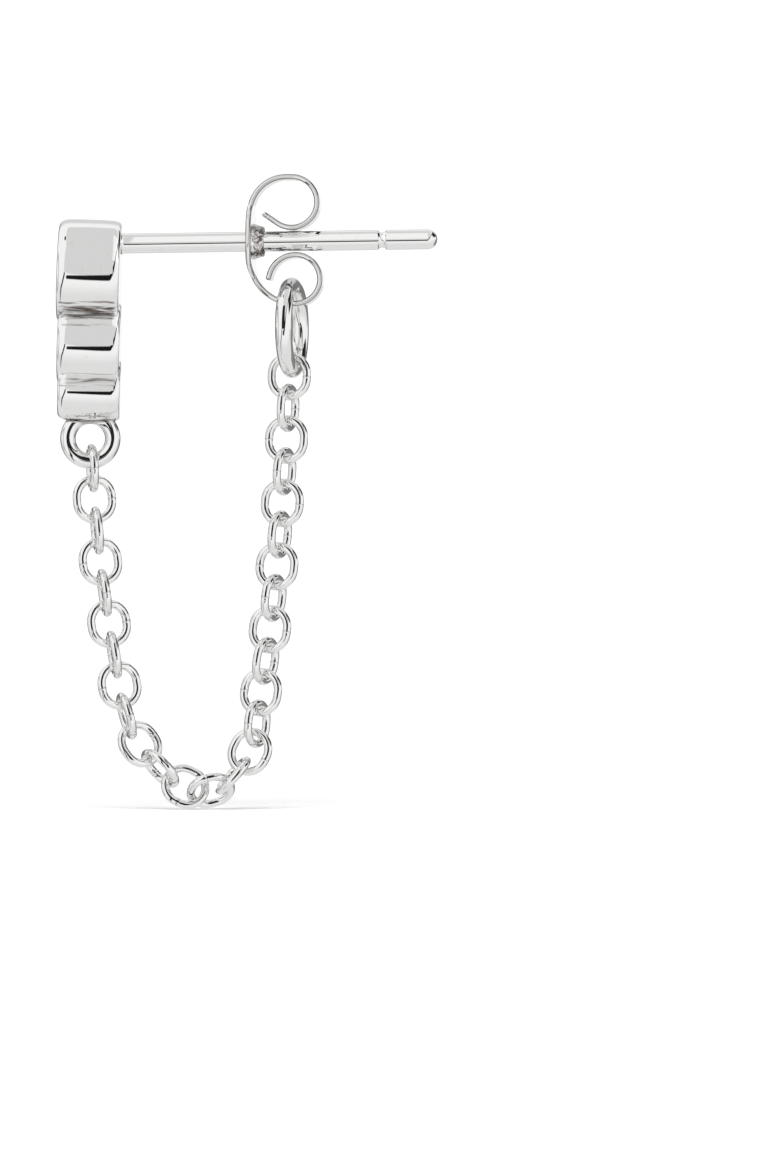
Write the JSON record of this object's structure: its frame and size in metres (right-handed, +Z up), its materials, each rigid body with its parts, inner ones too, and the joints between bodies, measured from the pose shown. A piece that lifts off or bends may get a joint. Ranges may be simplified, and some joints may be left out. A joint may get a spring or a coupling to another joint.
{
  "type": "chain drop earring",
  "caption": "Drop earring with graduated bezel-set stones on a straight ear post, a butterfly clutch behind the lobe and a fine cable chain hanging between them.",
  "frame": {"origin": "the middle of the ear lobe on the axis of the post, midway between the back of the setting and the clutch's plate", "axes": "+X along the post away from the face to its tip, +Z up, +Y away from the viewer of the picture"},
  "size_m": [0.0143, 0.004, 0.0238],
  "materials": {
    "setting_silver": "high polish, rhodium plated silver",
    "clutch_silver": "polished bent strip, rhodium plated silver",
    "ring_silver": "high polish round wire, rhodium plated silver",
    "chain_silver": "high polish round wire, rhodium plated silver",
    "clear_stone": "clear faceted round brilliant"
  },
  "bodies": {
    "root": {"front_setting": "setting_silver", "top_stone": "clear_stone", "middle_stone": "clear_stone", "small_stone": "clear_stone", "butterfly_clutch": "clutch_silver", "jump_ring": "ring_silver", "link_01": "chain_silver", "link_02": "chain_silver", "link_03": "chain_silver", "link_04": "chain_silver", "link_05": "chain_silver", "link_06": "chain_silver", "link_07": "chain_silver", "link_08": "chain_silver", "link_09": "chain_silver", "link_10": "chain_silver", "link_11": "chain_silver", "link_12": "chain_silver", "link_13": "chain_silver", "link_14": "chain_silver", "link_15": "chain_silver", "link_16": "chain_silver", "link_17": "chain_silver", "link_18": "chain_silver", "link_19": "chain_silver", "link_20": "chain_silver", "link_21": "chain_silver", "link_22": "chain_silver", "link_23": "chain_silver", "link_24": "chain_silver", "link_25": "chain_silver", "link_26": "chain_silver", "link_27": "chain_silver"}
  },
  "joints": []
}
